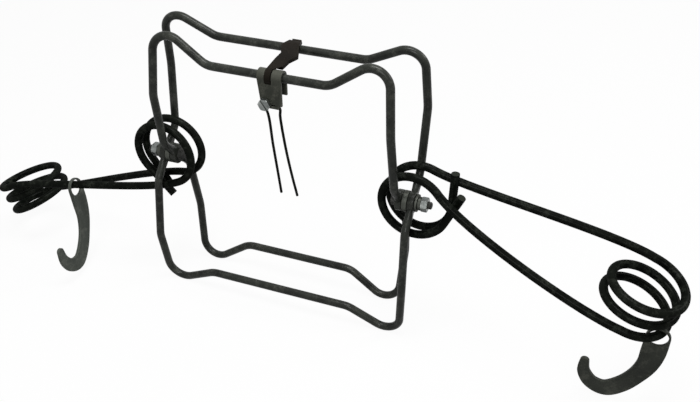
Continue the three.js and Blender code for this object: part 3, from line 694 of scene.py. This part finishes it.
# Safety hooks: flat stamped plates on the springs
hookSizes = {
    "thick": 3, "height": 73, "holeDia": 15.4, "rest": 3.2,  # rest: the wire above the eye's middle
    "rightShare": 0.668, "leftShare": 0.7535,  # where they hang along the spring's wire
    "bevel": 0.45, "steps": 70, "holeSides": 48, "tipTurns": 12, "eyeTurns": 26,
    "flatAngle": 0.01, "edgeAngle": 1.2,
    # middle line and half width, as shares of the height, from the eye to the tip
    "stations": [(0.034, -0.03, 0.128), (0.045, -0.25, 0.129), (0.075, -0.44, 0.112), (0.16, -0.63, 0.098),
                 (0.285, -0.8, 0.1), (0.44, -0.91, 0.101), (0.6, -0.87, 0.087), (0.695, -0.735, 0.07),
                 (0.705, -0.59, 0.05)],
}


def hookOutline():
    tall = hookSizes["height"]
    steps = hookSizes["steps"]
    middle = spline([Vector((h, v, w)) * tall for h, v, w in hookSizes["stations"]], steps, 0)
    near = []
    far = []
    for i, at in enumerate(middle):
        along = middle[min(i + 1, steps)] - middle[max(i - 1, 0)]
        out = Vector((-along.y, along.x)).normalized() * at.z
        near.append(at.xy + out)
        far.append(at.xy - out)

    def cap(centre, start, turns):
        arm = start - centre
        return [centre + Matrix.Rotation(math.pi * (k + 1) / turns, 2) @ arm for k in range(turns - 1)]

    tip = cap(middle[-1].xy, far[-1], hookSizes["tipTurns"])
    return far + tip + near[::-1] + cap(middle[0].xy, near[0], hookSizes["eyeTurns"])


def sharpEdges(shape, angle):
    return [e for e in shape.edges if len(e.link_faces) == 2 and e.calc_face_angle() > angle]


def plateMesh(name, outline, hole):
    thick = hookSizes["thick"]
    shape = bmesh.new()
    outer = [shape.verts.new((p.x, p.y, -thick / 2)) for p in outline]
    loop = [shape.verts.new((p.x, p.y, -thick / 2)) for p in hole]
    edges = [shape.edges.new((ring[i], ring[(i + 1) % len(ring)]))
             for ring in (outer, loop) for i in range(len(ring))]
    bmesh.ops.triangle_fill(shape, use_beauty=True, use_dissolve=False, edges=edges)
    bmesh.ops.dissolve_limit(shape, angle_limit=hookSizes["flatAngle"], verts=shape.verts,
                             edges=shape.edges)
    grown = bmesh.ops.extrude_face_region(shape, geom=shape.faces[:])
    lifted = [g for g in grown["geom"] if isinstance(g, bmesh.types.BMVert)]
    bmesh.ops.translate(shape, verts=lifted, vec=(0, 0, thick))
    bmesh.ops.recalc_face_normals(shape, faces=shape.faces)
    rim = sharpEdges(shape, hookSizes["edgeAngle"])
    bmesh.ops.bevel(shape, geom=rim, offset=hookSizes["bevel"], segments=3, profile=0.5, affect="EDGES")
    bmesh.ops.triangulate(shape, faces=[f for f in shape.faces if len(f.verts) > 4])
    mesh = bpy.data.meshes.new(name)
    shape.to_mesh(mesh)
    shape.free()
    return mesh


def makeHook(word, share, flat, rightWay, material):
    line = springLines[word]
    lengths = runLengths(line)
    want = share * lengths[-1]
    i = next(k for k, reached in enumerate(lengths) if reached >= want)
    at = line[i - 1].lerp(line[i], (want - lengths[i - 1]) / (lengths[i] - lengths[i - 1]))
    wire = (line[i] - line[i - 1]).normalized()
    normal = flat or wire
    up = (Vector((0, 0, 1)) - normal * normal.z).normalized()
    right = up.cross(normal)
    sense = -1 if right.dot(rightWay) < 0 else 1
    basis = Matrix((right * sense, up, normal * sense)).transposed()
    eye = Vector(hookSizes["stations"][0][:2]) * hookSizes["height"]
    radius = hookSizes["holeDia"] / 2
    turns = [2 * math.pi * k / hookSizes["holeSides"] for k in range(hookSizes["holeSides"])]
    hole = [eye + Vector((math.cos(a), math.sin(a))) * radius for a in turns]
    mesh = plateMesh(f"safety_hook_plate_{word}", hookOutline(), hole)
    hang = Vector((eye.x, eye.y + hookSizes["rest"], 0))
    for vert in mesh.vertices:
        vert.co = toFrame(at + basis @ (vert.co - hang))
    hook = addObject(mesh.name, outward(mesh))
    shadeByAngle(hook, sharpFrom["plate"])
    evenNormals(hook)
    finishPiece(hook, f"hook_{word}", material, "hook_plate", f"safety_hook_{word}")


makeHook("right", hookSizes["rightShare"], Vector((0, -1, 0)), Vector((-1, 0, 0)), plateSteel)
makeHook("left", hookSizes["leftShare"], None, Vector((0, -1, 0)), paleHookSteel)
print("stage: hooks made")


# Hard parts copied from their solids, with softened edges; reshape moves some of their corners
refineSizes = {"weld": 2e-6, "finalWeld": 1e-6, "flatAngle": math.radians(0.6),
               "edgeAngle": math.radians(30)}


def refine(nodeName, newName, bevel, material, slotName, body, reshape=None):
    mesh = nodes[nodeName].data.copy()
    mesh.name = newName
    shape = bmesh.new()
    shape.from_mesh(mesh)
    bmesh.ops.remove_doubles(shape, verts=shape.verts, dist=refineSizes["weld"])
    bmesh.ops.dissolve_limit(shape, angle_limit=refineSizes["flatAngle"], verts=shape.verts,
                             edges=shape.edges)
    sharp = sharpEdges(shape, refineSizes["edgeAngle"])
    bmesh.ops.bevel(shape, geom=sharp, offset=bevel * mm, segments=2, profile=0.5, affect="EDGES",
                    clamp_overlap=True)
    bmesh.ops.remove_doubles(shape, verts=shape.verts, dist=refineSizes["finalWeld"])
    bmesh.ops.triangulate(shape, faces=[f for f in shape.faces if len(f.verts) > 4])
    if reshape:
        for vert in shape.verts:
            vert.co = toFrame(reshape((vert.co - pivotMid) / mm))
    shape.to_mesh(mesh)
    shape.free()
    piece = addObject(newName, mesh)
    shadeByAngle(piece, sharpFrom["plate"])
    evenNormals(piece)
    finishPiece(piece, body, material, slotName, nodeName)


# The dog's strip leans and widens between the rods: corners of its plan, in x and in y from the
# front rod (near) or the rear rod (far), each with how far it moves
dogCorners = {
    "near": [((6.35, 9.2), (6, -4.4, -0.5)), ((15, 15), (-1.5, 0, 0)), ((15, 24.2), (2.5, -1, -0.1))],
    "far": [((5.6, -3.6), (5.5, -1, -0.1)), ((5.6, 1.3), (4.5, -1, -0.1)), ((5.6, 8.25), (3.5, -4, 0.7)),
            ((5.6, 12.1), (2.8, -5.5, -2.5)), ((-4.5, -7.2), (1, 0, 0)), ((-4.5, 1.3), (4.5, -1, -0.1)),
            ((-4.5, 8.25), (5.2, -4, 0.7)), ((-4.5, 12.1), (4.6, -5.5, -2.5))],
    "reach": 1.4,
}
# The bracket's front plate narrows towards its lower edge; drops are below the rod
plateTaper = {"left": -5.7, "topDrop": 6, "bottomDrop": 23, "inward": 3, "upward": 2.3}


def dogDrawn(point):
    rods = {"near": -innerJaw["dipY"], "far": outerJaw["dipY"]}
    corners = [(Vector((x, y + rods[key])), move) for key in rods for (x, y), move in dogCorners[key]]
    at, move = min(corners, key=lambda corner: (corner[0] - point.xy).length)
    return point + Vector(move) if (at - point.xy).length < dogCorners["reach"] else point


def plateDrawn(point):
    drop = innerJaw["dipZ"] - point.z
    if point.y > -innerJaw["dipY"] or drop < plateTaper["topDrop"]:
        return point
    low = drop > plateTaper["bottomDrop"]
    inward = plateTaper["inward"] if low and point.x < plateTaper["left"] + 1 else 0
    return point + Vector((inward, 0, plateTaper["upward"] if low else 0))


for word in ("right", "left"):
    refine(f"pivot_bolt_{word}", f"pivot_bolt_steel_{word}", 0.2, boltSteel, "zinc", "outer_jaw")
    refine(f"pivot_spacer_{word}", f"pivot_spacer_ring_{word}", 0.4, dullSteel, "zinc", "outer_jaw")
    refine(f"pivot_washer_{word}", f"pivot_washer_ring_{word}", 0.3, dullSteel, "zinc", "outer_jaw")
    refine(f"lock_washer_{word}", f"lock_washer_ring_{word}", 0.2, dullSteel, "zinc", "outer_jaw")
    refine(f"pivot_nut_{word}", f"pivot_nut_hex_{word}", 0.2, zincSteel, "zinc", "outer_jaw")
refine("trigger_bolt", "trigger_bolt_steel", 0.2, zincSteel, "zinc", "trigger")
refine("trigger_washer", "trigger_washer_ring", 0.2, zincSteel, "zinc", "trigger")
refine("trigger_nut", "trigger_nut_hex", 0.15, zincSteel, "zinc", "trigger")
refine("trigger_bracket", "trigger_bracket_strip", 0.3, bracketPaintedLightSteel, "trigger_plate", "trigger",
       plateDrawn)
refine("dog", "dog_strip", 0.35, dogSteel, "trigger_plate", "dog", dogDrawn)
print("stage: bolts, bracket and dog made")


# Threads on the bolt ends that stand out of their nuts
threadSizes = {"pivotRadius": 2.95, "pivotPitch": 1.27, "pivotTurns": 2.3, "ridge": 0.3,
               "smallRadius": 2.2, "smallPitch": 0.8, "smallTurns": 1.6, "smallRidge": 0.2,
               "offNut": 0.1, "offSmallNut": 0.05}


def addThread(name, radius, pitch, turns, ridge, start, turn, body, material):
    thread = addObject(name, bpy.data.meshes.new(name))
    runTree(thread, threadTree, {
        "Radius": radius * mm, "Pitch": pitch * mm, "Turns": turns, "Ridge": ridge * mm,
        "Start": toFrame(start), "Turn": turn, "Steel": material})
    shadeByAngle(thread, sharpFrom["thread"])
    finishPiece(thread, body, material, "zinc")


nutEnd = (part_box("pivot_nut_right")[1].x - pivotMid.x) / mm
for word, side in (("right", 1), ("left", -1)):
    addThread(f"pivot_thread_{word}", threadSizes["pivotRadius"], threadSizes["pivotPitch"],
              threadSizes["pivotTurns"], threadSizes["ridge"],
              Vector((side * (nutEnd + threadSizes["offNut"]), 0, 0)),
              (0, side * math.pi / 2, 0), "outer_jaw", boltSteel)
smallNutLow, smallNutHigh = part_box("trigger_nut")
boltAt = ((smallNutLow + smallNutHigh) / 2 - pivotMid) / mm
boltAt.y = (smallNutHigh.y - pivotMid.y) / mm + threadSizes["offSmallNut"]
addThread("trigger_thread", threadSizes["smallRadius"], threadSizes["smallPitch"],
          threadSizes["smallTurns"], threadSizes["smallRidge"], boltAt, (-math.pi / 2, 0, 0), "trigger",
          zincSteel)

# Trigger wire: two legs from one wire bent over the bolt
triggerSizes = {
    "wireDia": 2.26, "solidDia": 2.3, "seat": 0.3,  # the CAD wire's thickness and its gap to the washer
    "loopRadius": 4, "loopTurn": math.radians(135), "loopParts": 6,
    "legSpread": 10.6, "legSetOff": 11, "legLong": 82, "legLean": 13, "leanPower": 1.3,
    "legDrift": 3.6, "legSplay": 2.2, "legShares": (0.35, 0.7, 1),
    "steps": 170, "sides": 16, "endRound": 0.5,
}


def triggerLine():
    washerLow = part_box("trigger_washer")[0]
    boltX, boltZ = boltAt.x, boltAt.z
    wireY = (washerLow.y - pivotMid.y) / mm - triggerSizes["seat"] - triggerSizes["solidDia"] / 2
    below = boltZ - triggerSizes["legSetOff"]
    rightX = boltX + triggerSizes["legSpread"]
    parts = triggerSizes["loopParts"]
    loop = []
    for i in range(parts + 1):
        angle = math.pi - triggerSizes["loopTurn"] * i / parts
        loop.append(Vector((boltX + triggerSizes["loopRadius"] * math.cos(angle), wireY,
                            boltZ + triggerSizes["loopRadius"] * math.sin(angle))))

    def leg(x, way):
        return [Vector((x + triggerSizes["legDrift"] * s + way * triggerSizes["legSplay"] * s ** 2,
                        wireY + triggerSizes["legLean"] * s ** triggerSizes["leanPower"],
                        below - triggerSizes["legLong"] * s)) for s in triggerSizes["legShares"]]

    left = [Vector((boltX, wireY, below)), *leg(boltX, -1)][::-1]
    right = [Vector((rightX, wireY, below)), *leg(rightX, 1)]
    return spline([*left, *loop, Vector((rightX, wireY, boltZ - triggerSizes["loopRadius"])), *right],
                  triggerSizes["steps"], 0.5)


triggerWire = wirePiece("trigger_wire_legs", triggerLine(), triggerSizes["wireDia"] / 2,
                        triggerSizes["sides"], triggerSizes["endRound"], wireSteel)
finishPiece(triggerWire, "trigger", wireSteel, "trigger_rod", "trigger_wire")
print("stage: trigger wire and threads made")


# Floor, world and lamps
stageLook = {"floorSize": 8.0, "under": 0.0002, "floorRough": 0.9,
             "bounceShade": (0.2, 0.2, 0.2, 1), "seenShade": (0.85, 0.85, 0.85, 1),
             "whiteShare": 0.94, "fill": 0.13}


def whiteRays(tree):
    rays = addNode(tree, "ShaderNodeLightPath").outputs
    either = mathNode(tree, "MAXIMUM", rays["Is Camera Ray"], rays["Is Glossy Ray"])
    return mathNode(tree, "MAXIMUM", either, rays["Is Transmission Ray"])


def addFloor():
    size = stageLook["floorSize"] / 2
    mesh = bpy.data.meshes.new("floor")
    corners = ((-size, -size), (size, -size), (size, size), (-size, size))
    mesh.from_pydata([(x, y, -stageLook["under"]) for x, y in corners], [], [(0, 1, 2, 3)])
    material = bpy.data.materials.new("paleFloor")
    material.use_nodes = True
    tree = material.node_tree
    shader = tree.nodes["Principled BSDF"]
    seen = whiteRays(tree)
    shade = mixColour(tree, seen, stageLook["bounceShade"], stageLook["seenShade"])
    tree.links.new(shade, shader.inputs["Base Color"])
    shader.inputs["Roughness"].default_value = stageLook["floorRough"]
    glow = addNode(tree, "ShaderNodeEmission", {"Color": (1, 1, 1, 1), "Strength": 1.0})
    share = mathNode(tree, "MULTIPLY", seen, stageLook["whiteShare"])
    mix = addNode(tree, "ShaderNodeMixShader", {0: share, 1: shader.outputs[0], 2: glow.outputs[0]})
    tree.links.new(mix.outputs[0], tree.nodes["Material Output"].inputs["Surface"])
    floor = addObject("floor", mesh)
    floor.data.materials.append(material)


def addWorld():
    world = bpy.data.worlds.new("studio")
    world.use_nodes = True
    tree = world.node_tree
    strength = remap(tree, whiteRays(tree), 0.0, 1.0, stageLook["fill"], 1.0)
    tree.links.new(strength, tree.nodes["Background"].inputs["Strength"])
    tree.nodes["Background"].inputs["Color"].default_value = (1, 1, 1, 1)
    bpy.context.scene.world = world


lamps = [
    {"name": "overhead", "at": (0.1, -0.1, 1.5), "aim": (0, 0, 0.13), "size": (0.9, 0.4), "power": 16},
    {"name": "front", "at": (0.35, -1.35, 1.15), "aim": (0, 0, 0.12), "size": (0.38, 0.38), "power": 9},
    {"name": "rearRight", "at": (1.3, 0.9, 1.0), "aim": (0, 0, 0.12), "size": (0.6, 0.6), "power": 8},
]


def addLamp(lamp):
    data = bpy.data.lights.new(lamp["name"], "AREA")
    data.shape = "RECTANGLE"
    data.size, data.size_y = lamp["size"]
    data.energy = lamp["power"]
    obj = bpy.data.objects.new(lamp["name"], data)
    obj.location = lamp["at"]
    obj.rotation_euler = (Vector(lamp["at"]) - Vector(lamp["aim"])).to_track_quat("Z", "Y").to_euler()
    bpy.context.scene.collection.objects.link(obj)


addFloor()
addWorld()
for lamp in lamps:
    addLamp(lamp)
bpy.context.scene.view_settings.view_transform = "Standard"
print("stage: floor and lamps ready")
